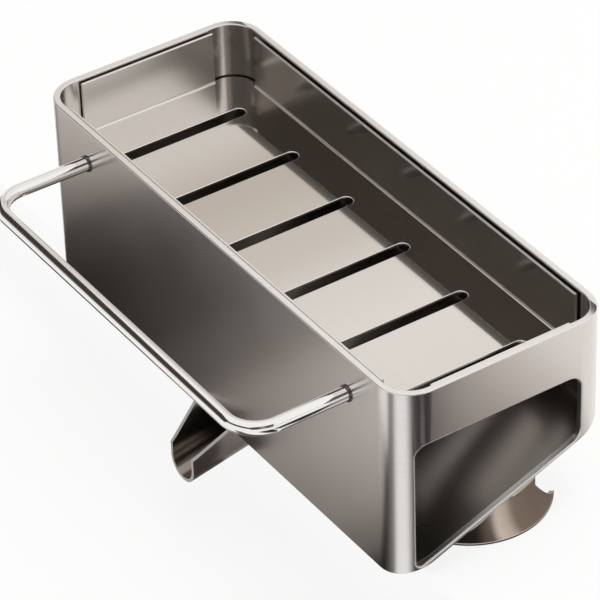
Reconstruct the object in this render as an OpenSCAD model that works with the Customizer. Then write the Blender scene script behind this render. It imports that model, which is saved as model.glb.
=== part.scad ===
// Sponge holder for the counter beside a sink, in millimetres.
// The counter is at height zero, the long side lies along X and the front faces the minus Y side.
// A band of sheet forms the walls, a sloped floor drains to a spout in front, and a slotted tray lifts out.

/* [Body] */
// Outside length of the box
body_length = 260; // [250:1:320]
// Outside depth of the box, front to back
body_depth = 100; // [96:1:130]
// Height of the front wall
front_height = 90; // [85:1:120]
// Height of the back wall
back_height = 51; // [48:1:60]
// Outside radius of the four upright corners
corner_radius = 15; // [10:0.5:18]
// Thickness of the wall sheet
wall_thickness = 3; // [2:0.1:4]
// Thickness of the sloped floor plate
floor_thickness = 1.2; // [0.8:0.1:2.5]
// Room between the counter and the front lower edge
front_edge_lift = 2; // [1:0.5:6]

/* [End window] */
// Distance from the rim down to the window
window_drop = 25; // [20:1:30]
// Width of the solid wall left in front of the window
window_front_post = 8; // [5:0.5:16]
// Width of the solid wall left behind the window
window_back_post = 14.5; // [10:0.5:20]
// Radius of the upper window corners
window_top_radius = 6; // [3:0.5:8]
// Radius of the window at its lower front corner
window_front_radius = 1.5; // [1:0.5:4]
// Radius of the window at its lower back corner
window_back_radius = 7; // [3:0.5:9]

/* [Drain tray] */
// Thickness of the tray sheet
tray_thickness = 1.2; // [0.8:0.1:2]
// Distance from the rim down to the tray's upper face
tray_drop = 26; // [22:1:30]
// Distance from the rim down to the top of the flaps
flap_drop = 1.3; // [0.5:0.1:6]
// Room between the tray and the walls, all round
tray_clearance = 0.9; // [0.5:0.1:1.5]
// Inside radius of the bend between tray floor and flap
flap_bend_radius = 1; // [0.5:0.1:2]
// Open room between a flap's end and the start of the rounded corner
flap_end_relief = 2.6; // [0.5:0.1:5]
// Width of one slot
slot_width = 6; // [4:0.5:8]
// Length of one slot, end to end
slot_length = 62.5; // [40:0.5:70]
// Distance from slot to slot
slot_pitch = 40; // [30:1:42]
// Number of slots
slot_count = 6; // [2:2:6]

/* [Tray rests] */
// Width of one angle bracket
rest_width = 14; // [8:1:24]
// Height of the bracket's upright leg
rest_height = 10; // [6:1:14]
// Reach of the bracket's ledge from the wall
rest_reach = 6; // [4:0.5:10]
// Thickness of the bracket sheet
rest_thickness = 1.5; // [1:0.1:2.5]
// Distance of the brackets from the middle of the box
rest_offset = 80; // [50:1:84]

/* [Cloth bar] */
// Diameter of the rod
rod_diameter = 6; // [5:0.5:8]
// Distance of each rod leg from the middle of the box
rod_leg_offset = 94.5; // [70:0.5:104]
// Distance from the rim down to the rod's centre line
rod_drop = 17; // [12:0.5:20]
// Distance from the front wall to the centre line of the long run
rod_reach = 46; // [30:1:60]
// Radius of the two bends, to the centre line
rod_bend_radius = 14; // [10:0.5:20]
// Outside diameter of the collar ring
collar_diameter = 7.3; // [6.9:0.1:12]
// Thickness of the collar ring
collar_thickness = 0.7; // [0.5:0.1:3]
// Radial room between the collar ring and the rod
collar_clearance = 0.1; // [0.05:0.05:0.3]

/* [Bar screws] */
// Thread diameter of the screw
screw_diameter = 3; // [2.5:0.5:3.5]
// Diameter of the countersunk head
screw_head_diameter = 5.6; // [5:0.1:6.5]
// Depth of the conical part of the head
screw_head_depth = 1.5; // [1:0.1:1.8]
// Length of thread inside the rod
screw_grip = 8; // [5:0.5:12]
// Empty hole left beyond the screw's end
screw_end_room = 1.5; // [1:0.5:4]
// Radial room between the thread and the hole in the wall
screw_wall_clearance = 0.2; // [0.1:0.1:0.4]
// Width of the six-sided socket across its corners
socket_width = 2.2; // [1.5:0.1:2.4]
// Depth of the six-sided socket
socket_depth = 1; // [0.6:0.1:1.3]

/* [Drain spout] */
// Thickness of the spout sheet
spout_thickness = 1.5; // [1:0.1:2]
// Outside width of the spout's trough
trough_width = 17; // [14:0.5:22]
// Reach of the mouth in front of the wall
spout_reach = 18.4; // [14:0.2:26]
// Height of the crease below the front lower edge of the box
crease_drop = 9; // [6:0.5:12]
// Depth of the mouth below the crease
mouth_depth = 14.4; // [12:0.2:18]
// Height of the side walls on the front wall, above the lower edge
spout_overlap = 5.4; // [3:0.2:8]
// Outward lean of the side walls above the crease, as a share of height
side_lean_share = 0.375; // [0.2:0.005:0.5]
// Rise of the trough's bottom toward the back, as a share of length
trough_rise_share = 0.2; // [0.1:0.005:0.2]
// Reach of the trough under the floor, behind the front face
trough_back_reach = 11.5; // [10.5:0.5:12]
// Length of the drain notch in the floor, along the front wall
drain_length = 18; // [10:0.5:19]
// Depth of the drain notch, front to back
drain_depth = 6; // [4:0.5:6]
// Radius of the notch's inner corners
drain_corner_radius = 2.5; // [1:0.5:3]

/* [Legs] */
// Outside radius of the curved leg sheet
leg_radius = 33.8; // [28:0.2:36]
// Thickness of the leg sheet
leg_thickness = 2; // [1.5:0.1:3]
// Distance from the box's end plane in to the leg's outermost line
leg_inset = 0.7; // [0.2:0.1:4]
// Distance of the leg's middle behind the middle of the box
leg_setback = 6.5; // [2:0.5:10]
// Half of the leg's width at its foot
foot_half_width = 27; // [20:0.5:27]
// Half of the leg's width at its neck
neck_half_width = 8.3; // [6:0.1:12]
// Height of the neck above the counter
neck_height = 21; // [16:0.5:22]
// Radius of the hollow side edges of the leg
leg_side_radius = 95; // [60:1:200]
// Length of the flange turned in under the floor
flange_length = 18; // [12:1:24]
// Height of the sole strip under the leg
sole_height = 0.8; // [0.6:0.1:2]

/* [Hidden] */
$fn = 96;
overrun = 2;
side_steps = 8;

rim_height = front_edge_lift + front_height;
front_face = -body_depth / 2;
back_face = body_depth / 2;
wall_inside = body_depth / 2 - wall_thickness;
inner_length = body_length - 2 * wall_thickness;
inner_depth = body_depth - 2 * wall_thickness;
inner_radius = corner_radius - wall_thickness;
floor_slope = (front_height - back_height) / body_depth;
floor_angle = atan(floor_slope);
floor_rise = floor_thickness / cos(floor_angle);

tray_length = inner_length - 2 * tray_clearance;
tray_depth = inner_depth - 2 * tray_clearance;
tray_radius = inner_radius - tray_clearance;
tray_base = rim_height - tray_drop - tray_thickness;
tray_top = rim_height - flap_drop;
bend_outer = flap_bend_radius + tray_thickness;
end_flap_width = tray_depth - 2 * tray_radius - 2 * flap_end_relief;
long_flap_width = tray_length - 2 * tray_radius - 2 * flap_end_relief;

rod_radius = rod_diameter / 2;
rod_height = rim_height - rod_drop;
rod_run = front_face - rod_reach;
screw_radius = screw_diameter / 2;
head_radius = screw_head_diameter / 2;

trough_radius = trough_width / 2;
mouth_face = front_face - spout_reach;
crease_height = front_edge_lift - crease_drop;
spout_bottom = crease_height - mouth_depth;
trough_back = front_face + trough_back_reach;
trough_angle = atan(trough_rise_share);
trough_length = spout_reach + trough_back_reach;
side_top = front_edge_lift + spout_overlap;

leg_centre = body_length / 2 - leg_inset - leg_radius;
flange_rise = leg_thickness / cos(floor_angle);

// Height of the box's lower face at a distance y behind the middle
function lower_face(y) = front_edge_lift + (y - front_face) * floor_slope;

// Unit vector from one point to another
function toward(a, b) = (b - a) / norm(b - a);

// Centre of a corner arc of radius r at point b, between its neighbours a and c
function arc_centre(a, b, c, r) =
    let (u = toward(b, a))
    let (v = toward(b, c))
    let (half_angle = acos(u * v) / 2)
    b + toward([0, 0], u + v) * r / sin(half_angle);

// Where the corner arc at point b meets the side that runs to point a
function arc_start(a, b, c, r) =
    let (u = toward(b, a))
    let (v = toward(b, c))
    let (half_angle = acos(u * v) / 2)
    b + u * r / tan(half_angle);

// Convex outline with a corner arc at every point
module rounded_outline(points, radii) {
    count = len(points);
    tangents = [
        for (i = [0 : count - 1])
            let (a = points[(i + count - 1) % count])
            let (b = points[i])
            let (c = points[(i + 1) % count])
            for (p = [arc_start(a, b, c, radii[i]), arc_start(c, b, a, radii[i])])
                p
    ];
    polygon(tangents);
    for (i = [0 : count - 1]) {
        a = points[(i + count - 1) % count];
        b = points[i];
        c = points[(i + 1) % count];
        translate(arc_centre(a, b, c, radii[i]))
            circle(radii[i]);
    }
}

// Rectangle with round corners, centred
module round_rectangle(length, depth, radius) {
    square([length - 2 * radius, depth], center = true);
    square([length, depth - 2 * radius], center = true);
    for (x = [-1, 1])
        for (y = [-1, 1])
            translate([x * (length / 2 - radius), y * (depth / 2 - radius)])
                circle(radius);
}

// Stretches a front to back outline along the length, centred
module along_length(length) {
    rotate([90, 0, 90])
        linear_extrude(length, center = true)
            children();
}

// Outline of everything above the plane of the box's lower face, moved by a height
module above_lower_face(move) {
    near = front_face - spout_reach - overrun;
    far = back_face + overrun;
    polygon([
        [near, lower_face(near) + move],
        [far, lower_face(far) + move],
        [far, rim_height + overrun],
        [near, rim_height + overrun]
    ]);
}

// Outline of the room under the flanges of the legs
module below_flange() {
    low = -overrun;
    near = leg_setback - leg_radius;
    far = leg_setback + leg_radius;
    polygon([
        [near, low],
        [far, low],
        [far, lower_face(far) - flange_rise],
        [near, lower_face(near) - flange_rise]
    ]);
}

// Window outline in an end wall; its lower side is the floor's upper face
module window_outline() {
    y0 = front_face + window_front_post;
    y1 = back_face - window_back_post;
    top = rim_height - window_drop;
    rounded_outline(
        [
            [y0, lower_face(y0) + floor_rise],
            [y1, lower_face(y1) + floor_rise],
            [y1, top],
            [y0, top]
        ],
        [window_front_radius, window_back_radius, window_top_radius, window_top_radius]
    );
}

// Solid form of one screw hole through the front wall, axis along Y
module wall_screw_hole() {
    rotate([90, 0, 0]) {
        translate([0, 0, -overrun])
            cylinder(h = wall_thickness + 2 * overrun, r = screw_radius + screw_wall_clearance);
        cylinder(h = screw_head_depth, r1 = head_radius, r2 = screw_radius);
    }
}

module body_shell() {
    color("silver")
    difference() {
        intersection() {
            linear_extrude(rim_height)
                round_rectangle(body_length, body_depth, corner_radius);
            along_length(body_length + overrun)
                intersection() {
                    above_lower_face(0);
                    translate([front_face - overrun, 0])
                        square([body_depth + 2 * overrun, rim_height]);
                }
        }
        translate([0, 0, -overrun])
            linear_extrude(rim_height + 2 * overrun)
                round_rectangle(inner_length, inner_depth, inner_radius);
        translate([body_length / 2, 0, 0])
            along_length(body_length)
                window_outline();
        for (x = [-1, 1])
            translate([x * rod_leg_offset, -wall_inside, rod_height])
                wall_screw_hole();
    }
}

module floor_pan() {
    color("gainsboro")
    difference() {
        intersection() {
            linear_extrude(rim_height)
                round_rectangle(inner_length, inner_depth, inner_radius);
            along_length(body_length)
                difference() {
                    above_lower_face(0);
                    above_lower_face(floor_rise);
                }
        }
        linear_extrude(rim_height) {
            translate([-drain_length / 2, -wall_inside - overrun])
                square([drain_length, drain_depth - drain_corner_radius + overrun]);
            translate([drain_corner_radius - drain_length / 2, -wall_inside])
                square([drain_length - 2 * drain_corner_radius, drain_depth]);
            for (x = [-1, 1])
                translate([
                    x * (drain_length / 2 - drain_corner_radius),
                    drain_depth - drain_corner_radius - wall_inside
                ])
                    circle(drain_corner_radius);
        }
    }
}

// Bent edge of the tray: a quarter bend and the upright flap, running along Y, outer face at x = 0
module flap(width) {
    rotate([90, 0, 0])
        linear_extrude(width, center = true) {
            translate([-tray_thickness, tray_base + bend_outer])
                square([tray_thickness, tray_top - tray_base - bend_outer]);
            translate([-bend_outer, tray_base + bend_outer])
                difference() {
                    circle(bend_outer);
                    circle(flap_bend_radius);
                    translate([-bend_outer - overrun, -bend_outer - overrun])
                        square([bend_outer + overrun, 2 * (bend_outer + overrun)]);
                    translate([-overrun, 0])
                        square(bend_outer + 2 * overrun);
                }
        }
}

// One drain slot: straight sides and round ends
module slot_outline() {
    straight = slot_length - slot_width;
    square([slot_width, straight], center = true);
    for (y = [-1, 1])
        translate([0, y * straight / 2])
            circle(slot_width / 2);
}

module drain_tray() {
    color("lightgray") {
        translate([0, 0, tray_base])
            linear_extrude(tray_thickness)
                difference() {
                    round_rectangle(tray_length, tray_depth, tray_radius);
                    for (side = [-1, 1]) {
                        translate([side * tray_length / 2, 0])
                            square([2 * bend_outer, end_flap_width], center = true);
                        translate([0, side * tray_depth / 2])
                            square([long_flap_width, 2 * bend_outer], center = true);
                    }
                    for (i = [0 : slot_count - 1])
                        translate([(i - (slot_count - 1) / 2) * slot_pitch, 0])
                            slot_outline();
                }
        for (turn = [0, 180])
            rotate([0, 0, turn]) {
                translate([tray_length / 2, 0, 0])
                    flap(end_flap_width);
                rotate([0, 0, 90])
                    translate([tray_depth / 2, 0, 0])
                        flap(long_flap_width);
            }
    }
}

module tray_rests() {
    color("darkgray")
    for (side = [-1, 1])
        for (x = [-1, 1])
            translate([x * rest_offset, side * wall_inside, tray_base])
                rotate([0, 0, side * 90])
                    rotate([90, 0, 0])
                        linear_extrude(rest_width, center = true) {
                            translate([-rest_thickness, -rest_height])
                                square([rest_thickness, rest_height]);
                            translate([-rest_reach, -rest_thickness])
                                square([rest_reach, rest_thickness]);
                        }
}

// One half of the rod: the leg, the bend and half of the long run
module half_rod() {
    translate([rod_leg_offset, front_face, rod_height])
        rotate([90, 0, 0])
            cylinder(h = rod_reach - rod_bend_radius, r = rod_radius);
    translate([rod_leg_offset - rod_bend_radius, rod_run + rod_bend_radius, rod_height])
        rotate([0, 0, -90])
            rotate_extrude(angle = 90)
                translate([rod_bend_radius, 0])
                    circle(rod_radius);
    translate([0, rod_run, rod_height])
        rotate([0, 90, 0])
            cylinder(h = rod_leg_offset - rod_bend_radius, r = rod_radius);
}

module cloth_bar() {
    color("whitesmoke")
    difference() {
        union() {
            half_rod();
            mirror([1, 0, 0])
                half_rod();
        }
        for (x = [-1, 1])
            translate([x * rod_leg_offset, front_face + overrun, rod_height])
                rotate([90, 0, 0])
                    cylinder(h = screw_grip + screw_end_room + overrun, r = screw_radius);
    }
}

module bar_collars() {
    color("white")
    for (x = [-1, 1])
        translate([x * rod_leg_offset, front_face, rod_height])
            rotate([90, 0, 0])
                difference() {
                    cylinder(h = collar_thickness, d = collar_diameter);
                    translate([0, 0, -overrun])
                        cylinder(
                            h = collar_thickness + 2 * overrun,
                            r = rod_radius + collar_clearance
                        );
                }
}

module bar_screws() {
    color("dimgray")
    for (x = [-1, 1])
        translate([x * rod_leg_offset, -wall_inside, rod_height])
            rotate([90, 0, 0])
                difference() {
                    union() {
                        cylinder(h = screw_head_depth, r1 = head_radius, r2 = screw_radius);
                        cylinder(h = wall_thickness + screw_grip, r = screw_radius);
                    }
                    translate([0, 0, -overrun])
                        linear_extrude(socket_depth + overrun)
                            circle(d = socket_width, $fn = 6);
                }
}

// Height of the crease in the spout's sides, for a face set in by an inset
function crease_at(inset) =
    crease_height + inset * (sqrt(1 + side_lean_share * side_lean_share) - 1) / side_lean_share;

// Lower part of the spout: a round bottom with upright sides, its axis rising toward the back
module trough_form(inset, start, length) {
    radius = trough_radius - inset;
    intersection() {
        translate([0, mouth_face, spout_bottom + trough_radius])
            rotate([90 + trough_angle, 0, 0])
                linear_extrude(4 * trough_length, center = true) {
                    circle(radius);
                    translate([-radius, 0])
                        square([2 * radius, mouth_depth]);
                }
        translate([-trough_width, start, spout_bottom - overrun])
            cube([2 * trough_width, length, mouth_depth + 2 * overrun]);
    }
}

// Upper part of the spout: the sides lean outward from the crease
module funnel_form(inset, start, length) {
    half = trough_radius - inset;
    low = crease_at(inset);
    top = side_top + overrun;
    spread = half + (top - low) * side_lean_share;
    translate([0, start + length, 0])
        rotate([90, 0, 0])
            linear_extrude(length)
                polygon([[-half, low], [half, low], [spread, top], [-spread, top]]);
}

// Whole spout form, its faces set in by an inset
module spout_form(inset, start, length) {
    trough_form(inset, start, length);
    funnel_form(inset, start, length);
}

module drain_spout() {
    color("silver")
    difference() {
        spout_form(0, mouth_face, trough_length);
        spout_form(
            spout_thickness,
            mouth_face - overrun,
            trough_length - spout_thickness + overrun
        );
        along_length(4 * trough_width)
            polygon([
                [mouth_face, crease_height],
                [front_face, side_top],
                [front_face, rim_height],
                [mouth_face - overrun, rim_height],
                [mouth_face - overrun, crease_height]
            ]);
        along_length(4 * trough_width)
            polygon([
                [front_face, lower_face(front_face)],
                [back_face, lower_face(back_face)],
                [back_face, rim_height],
                [front_face, rim_height]
            ]);
    }
}

// Front view of the leg: narrow neck, hollow sides, wide foot
module leg_outline() {
    foot = [foot_half_width, sole_height];
    neck = [neck_half_width, neck_height];
    chord = neck - foot;
    outward = [chord[1], -chord[0]] / norm(chord);
    arc_distance = sqrt(leg_side_radius * leg_side_radius - chord * chord / 4);
    middle = (foot + neck) / 2 + outward * arc_distance;
    reach = asin(norm(chord) / (2 * leg_side_radius));
    side = [
        for (i = [0 : side_steps])
            let (turn = reach * (2 * i / side_steps - 1))
            middle - leg_side_radius * (outward * cos(turn) - chord / norm(chord) * sin(turn))
    ];
    polygon(concat(
        side,
        [[neck[0], rim_height], [-neck[0], rim_height]],
        [for (i = [side_steps : -1 : 0]) [-side[i][0], side[i][1]]]
    ));
}

module one_leg() {
    start = leg_centre + leg_radius - flange_length;
    difference() {
        intersection() {
            translate([leg_centre, leg_setback, 0])
                cylinder(h = rim_height, r = leg_radius);
            translate([start + leg_radius, leg_setback, 0])
                along_length(2 * leg_radius)
                    leg_outline();
        }
        intersection() {
            translate([leg_centre, leg_setback, -overrun])
                cylinder(h = rim_height + overrun, r = leg_radius - leg_thickness);
            translate([leg_centre + leg_radius, 0, 0])
                along_length(4 * leg_radius)
                    below_flange();
        }
        translate([leg_centre + leg_radius, 0, 0])
            along_length(4 * leg_radius)
                above_lower_face(0);
    }
}

module right_leg() {
    color("silver")
    one_leg();
}

module left_leg() {
    color("silver")
    mirror([1, 0, 0])
        one_leg();
}

module leg_soles() {
    color("black")
    for (side = [0, 1])
        mirror([side, 0, 0])
            intersection() {
                translate([leg_centre, leg_setback, 0])
                    linear_extrude(sole_height)
                        difference() {
                            circle(leg_radius);
                            circle(leg_radius - leg_thickness);
                        }
                translate([leg_centre, leg_setback - foot_half_width, -overrun])
                    cube([leg_radius + overrun, 2 * foot_half_width, sole_height + 2 * overrun]);
            }
}

// Which sub-part to build, or all of them

body_shell();
floor_pan();
drain_tray();
tray_rests();
cloth_bar();
bar_collars();
bar_screws();
drain_spout();
right_leg();
left_leg();
leg_soles();
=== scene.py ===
import math
import bpy
import bmesh
from mathutils import Matrix, Vector


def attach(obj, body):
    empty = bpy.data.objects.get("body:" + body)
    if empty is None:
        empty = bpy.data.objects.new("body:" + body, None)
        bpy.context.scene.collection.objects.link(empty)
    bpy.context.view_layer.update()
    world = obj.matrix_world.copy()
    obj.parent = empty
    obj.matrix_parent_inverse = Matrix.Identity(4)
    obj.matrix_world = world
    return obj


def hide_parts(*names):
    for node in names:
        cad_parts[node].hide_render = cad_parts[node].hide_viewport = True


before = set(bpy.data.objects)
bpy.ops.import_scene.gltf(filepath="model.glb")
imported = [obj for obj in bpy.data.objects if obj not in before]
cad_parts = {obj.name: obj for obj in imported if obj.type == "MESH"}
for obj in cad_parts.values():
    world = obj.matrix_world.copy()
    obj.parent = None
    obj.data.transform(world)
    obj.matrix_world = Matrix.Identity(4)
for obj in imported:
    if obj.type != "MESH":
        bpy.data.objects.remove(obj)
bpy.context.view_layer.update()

MM = 0.001

# Camera
# The photograph looks down at about 37 degrees from the front right corner with a long lens.
camera_data = bpy.data.cameras.new("camera")
camera_data.sensor_width = 36.0
camera_data.lens = 240.4
camera_data.clip_start, camera_data.clip_end = 0.05, 50.0
camera = bpy.data.objects.new("camera", camera_data)
camera_right = Vector((0.5588, 0.8289, -0.0277)).normalized()
camera_ahead = Vector((-0.6726, 0.4334, -0.5998)).normalized()
camera_up = camera_right.cross(camera_ahead).normalized()
camera_right = camera_ahead.cross(camera_up).normalized()
camera_axes = Matrix((camera_right, camera_up, -camera_ahead)).transposed()
camera.matrix_world = Matrix.Translation((1.0929, -0.7129, 1.0183)) @ camera_axes.to_4x4()
bpy.context.scene.collection.objects.link(camera)
bpy.context.scene.camera = camera


# Body shell
# One band of 3 mm stainless sheet, bent round four corners and welded at the back.
# Its lower edge slopes with the floor, and a window is cut through its right end.
# The faces are satin ground along the band; the cut edges are ground, paler partly as a painted
# highlight.
box_length, box_depth = 260 * MM, 100 * MM
corner_radius, wall = 15 * MM, 3 * MM
rim_height, lift = 92 * MM, 2 * MM
# The lower edge rises 39 mm over the depth of 100 mm.
slope = 39 / 100
front_face = -box_depth / 2
wall_inside = box_depth / 2 - wall
# The floor pan and the tray are of the same thin sheet.
sheet = 1.2 * MM
floor_rise = sheet * math.sqrt(1 + slope * slope)
tray_drop = 26 * MM
tray_base = rim_height - tray_drop - sheet
rod_height, rod_leg_x = rim_height - 17 * MM, 94.5 * MM


def lower_face(y):
    """Height of the band's lower edge, and of the floor's underside, at a depth y."""
    return lift + (y - front_face) * slope


def srgb(code):
    """Linear colour of an sRGB hex value, with alpha."""
    channels = [int(code[i:i + 2], 16) / 255 for i in (1, 3, 5)]
    return [c / 12.92 if c <= 0.04045 else ((c + 0.055) / 1.055) ** 2.4 for c in channels] + [1.0]


def add_node(owner, kind, settings=None, inputs=None):
    """Adds a node to a material or the world; settings are its properties, inputs its sockets."""
    node = owner.node_tree.nodes.new(kind)
    for name, value in (settings or {}).items():
        setattr(node, name, value)
    for name, value in (inputs or {}).items():
        node.inputs[name].default_value = value
    return node


def new_material(name, kind="ShaderNodeBsdfPrincipled"):
    """A material with one shader of a kind, which the caller fills in."""
    material = bpy.data.materials.new(name)
    material.use_nodes = True
    material.node_tree.nodes.clear()
    shader = add_node(material, kind)
    output = add_node(material, "ShaderNodeOutputMaterial")
    material.node_tree.links.new(shader.outputs[0], output.inputs["Surface"])
    return material, shader


def two_tones(material, shader, pattern, colour, darker):
    """Colours a shader between two hex colours, by a pattern socket from 0 to 1."""
    link = material.node_tree.links.new
    tone = add_node(material, "ShaderNodeMix", {"data_type": "RGBA"})
    tone.inputs["A"].default_value = srgb(colour)
    tone.inputs["B"].default_value = srgb(darker)
    link(pattern, tone.inputs["Factor"])
    link(tone.outputs["Result"], shader.inputs["Base Color"])


def satin_steel(name, colour, darker, grain_scale, roughness, spread, grain_strength, anisotropy):
    """Stainless steel ground with a fine belt: straight grain, soft stretched reflections.

    grain_scale is the grain's frequency per metre along X, Y and Z; the roughness wanders
    in soft clouds by spread to either side, and grain_strength is that of the grain's bump."""
    material, shader = new_material(name)
    place = add_node(material, "ShaderNodeTexCoord")
    along = add_node(material, "ShaderNodeMapping", inputs={"Scale": grain_scale})
    link = material.node_tree.links.new
    link(place.outputs["Object"], along.inputs["Vector"])
    grain = add_node(material, "ShaderNodeTexNoise", inputs={
        "Scale": 1.0, "Detail": 4.0, "Roughness": 0.6})
    link(along.outputs["Vector"], grain.inputs["Vector"])
    cloud = add_node(material, "ShaderNodeTexNoise", inputs={"Scale": 14.0, "Detail": 2.0})
    link(place.outputs["Object"], cloud.inputs["Vector"])
    two_tones(material, shader, grain.outputs["Fac"], colour, darker)
    rough = add_node(material, "ShaderNodeMapRange", inputs={
        "From Min": 0.3, "From Max": 0.7,
        "To Min": roughness - spread, "To Max": roughness + spread})
    link(cloud.outputs["Fac"], rough.inputs["Value"])
    link(rough.outputs["Result"], shader.inputs["Roughness"])
    bump = add_node(material, "ShaderNodeBump", inputs={
        "Strength": grain_strength, "Distance": 0.02 * MM})
    link(grain.outputs["Fac"], bump.inputs["Height"])
    link(bump.outputs["Normal"], shader.inputs["Normal"])
    shader.inputs["Metallic"].default_value = 1.0
    shader.inputs["Anisotropic"].default_value = anisotropy
    return material


# Where two faces meet at more than this, the edge between them is sharp.
sharp_angle = 32


def new_piece(mesh, material):
    """Links a finished mesh as an object of the same name at the origin."""
    piece = bpy.data.objects.new(mesh.name, mesh)
    bpy.context.scene.collection.objects.link(piece)
    mesh.materials.clear()
    mesh.materials.append(material)
    for face in mesh.polygons:
        face.use_smooth = True
    mesh.set_sharp_from_angle(angle=math.radians(sharp_angle))
    return piece


def mesh_from(name, points, faces):
    """A mesh whose faces point outwards."""
    mesh = bpy.data.meshes.new(name)
    mesh.from_pydata(points, [], faces)
    work = bmesh.new()
    work.from_mesh(mesh)
    bmesh.ops.remove_doubles(work, verts=work.verts, dist=1e-7)
    bmesh.ops.recalc_face_normals(work, faces=work.faces)
    work.to_mesh(mesh)
    work.free()
    return mesh


def settle(piece):
    """Replaces an object's mesh with its evaluated one and drops the modifiers."""
    graph = bpy.context.evaluated_depsgraph_get()
    mesh = bpy.data.meshes.new_from_object(piece.evaluated_get(graph))
    piece.modifiers.clear()
    old, piece.data = piece.data, mesh
    bpy.data.meshes.remove(old)


def round_plan(length, depth, radius, steps=14):
    """Outline of a rectangle with round corners, seen from above, turning left."""
    outline = []
    for x, y, start in ((1, 1, 0), (-1, 1, 90), (-1, -1, 180), (1, -1, 270)):
        for i in range(steps + 1):
            angle = math.radians(start + 90 * i / steps)
            outline.append((
                x * (length / 2 - radius) + radius * math.cos(angle),
                y * (depth / 2 - radius) + radius * math.sin(angle)))
    return outline


def round_corners(points, radii, steps=10):
    """Outline of a convex polygon with an arc at each corner."""
    outline = []
    count = len(points)
    for i in range(count):
        corner = Vector(points[i])
        back = (Vector(points[i - 1]) - corner).normalized()
        ahead = (Vector(points[(i + 1) % count]) - corner).normalized()
        half = back.angle(ahead) / 2
        centre = corner + (back + ahead).normalized() * radii[i] / math.sin(half)
        start = corner + back * radii[i] / math.tan(half) - centre
        end = corner + ahead * radii[i] / math.tan(half) - centre
        sweep = start.angle(end)
        for k in range(steps + 1):
            t = k / steps
            spot = start * math.sin((1 - t) * sweep) + end * math.sin(t * sweep)
            outline.append(tuple(centre + spot / math.sin(sweep)))
    return outline


def ring_faces(rings, count, closed=False):
    """Faces between rings of count points each; closed joins the last ring to the first."""
    faces = []
    for r in range(rings if closed else rings - 1):
        this, above = r * count, (r + 1) % rings * count
        for i in range(count):
            j = (i + 1) % count
            faces.append((this + i, this + j, above + j, above + i))
    return faces


def loft(name, rings):
    """Closed form through rings of points, each with the same number of points."""
    count, last = len(rings[0]), (len(rings) - 1) * len(rings[0])
    faces = [tuple(range(count)), tuple(range(last + count - 1, last - 1, -1))]
    faces += ring_faces(len(rings), count)
    return mesh_from(name, [p for ring in rings for p in ring], faces)


def prism(name, outline, place):
    """Closed prism between place(point, 0) and place(point, 1) of a flat outline."""
    return loft(name, [[place(p, end) for p in outline] for end in (0, 1)])


def lathe(name, profile, turns, place, round_of=lambda row, a: 1):
    """Turns a profile of radius and depth in mm; place puts each point of it in the part."""
    points = []
    for row, (radius, depth) in enumerate(profile):
        for k in range(turns):
            a = 2 * math.pi * k / turns
            r = radius * round_of(row, a)
            points.append(place(r * math.cos(a) * MM, r * math.sin(a) * MM, depth * MM))
    return mesh_from(name, points, ring_faces(len(profile), turns))


def cut(piece, mesh):
    """Takes the form of a mesh out of a piece."""
    tool = bpy.data.objects.new("tool", mesh)
    bpy.context.scene.collection.objects.link(tool)
    change = piece.modifiers.new("cut", "BOOLEAN")
    change.operation, change.solver, change.object = "DIFFERENCE", "EXACT", tool
    settle(piece)
    bpy.data.objects.remove(tool)
    bpy.data.meshes.remove(mesh)


def shade(piece):
    """Smooth shading that stays flat on large faces and breaks at sharp edges."""
    for face in piece.data.polygons:
        face.use_smooth = True
    piece.data.set_sharp_from_angle(angle=math.radians(sharp_angle))
    change = piece.modifiers.new("normals", "WEIGHTED_NORMAL")
    change.weight, change.keep_sharp = 100, True
    settle(piece)


def round_edges(piece, width, segments, angle=sharp_angle, edge=None):
    """Breaks the sharp edges as a deburring wheel does; edge is a material for the new faces, such
    as the paler edge colour with its painted highlight.
    """
    change = piece.modifiers.new("edges", "BEVEL")
    change.width, change.segments, change.limit_method = width, segments, "ANGLE"
    change.angle_limit = math.radians(angle)
    change.harden_normals = True
    change.use_clamp_overlap = True
    if edge:
        piece.data.materials.append(edge)
        change.material = len(piece.data.materials) - 1
    settle(piece)


def coat(piece, material, chosen):
    """Gives a material to the faces whose centre and normal are chosen."""
    names = [m.name for m in piece.data.materials]
    if material.name not in names:
        piece.data.materials.append(material)
        names.append(material.name)
    for face in piece.data.polygons:
        if chosen(face.center, face.normal):
            face.material_index = names.index(material.name)


def rounding(radius):
    """A rounded edge in four steps, each an inset from the face and a depth below the top."""
    return [(radius * (1 - math.cos(math.radians(a))), radius * (1 - math.sin(math.radians(a))))
            for a in (0, 30, 60, 90)]


# Rings round the band, each with an inset and a height; rim and foot are rounded over.
broken = 0.5 * MM
quarter = rounding(broken)
rings = [(inset, "foot", depth) for inset, depth in reversed(quarter)]
rings += [(inset, "rim", depth) for inset, depth in quarter]
rings += [(wall - inset, "rim", depth) for inset, depth in reversed(quarter)]
rings += [(wall, "tray", 0)] + [(wall - inset, "foot", depth) for inset, depth in quarter]
band_points = []
for inset, level, depth in rings:
    for x, y in round_plan(box_length - 2 * inset, box_depth - 2 * inset, corner_radius - inset):
        z = {"foot": lower_face(y) + depth, "rim": rim_height - depth, "tray": tray_base}[level]
        band_points.append((x, y, z))
band_faces = ring_faces(len(rings), len(band_points) // len(rings), closed=True)
# The grain runs round the band and draws the reflections out into long soft streaks.
wall_steel = satin_steel(
    "satin_ground_stainless", "#E6E2DF", "#DAD5D2", (4, 4, 2600), 0.21, 0.02, 0.1, 0.5)
# Edges that the wheel has broken are ground; their paler colour is partly a painted highlight, the
# fine pale lines that they catch.
edge_highlight_steel = satin_steel(
    "ground_edge_painted_highlight", "#F3F1EE", "#E8E5E1", (700, 700, 700), 0.3, 0.03, 0.05, 0.0)
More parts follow.
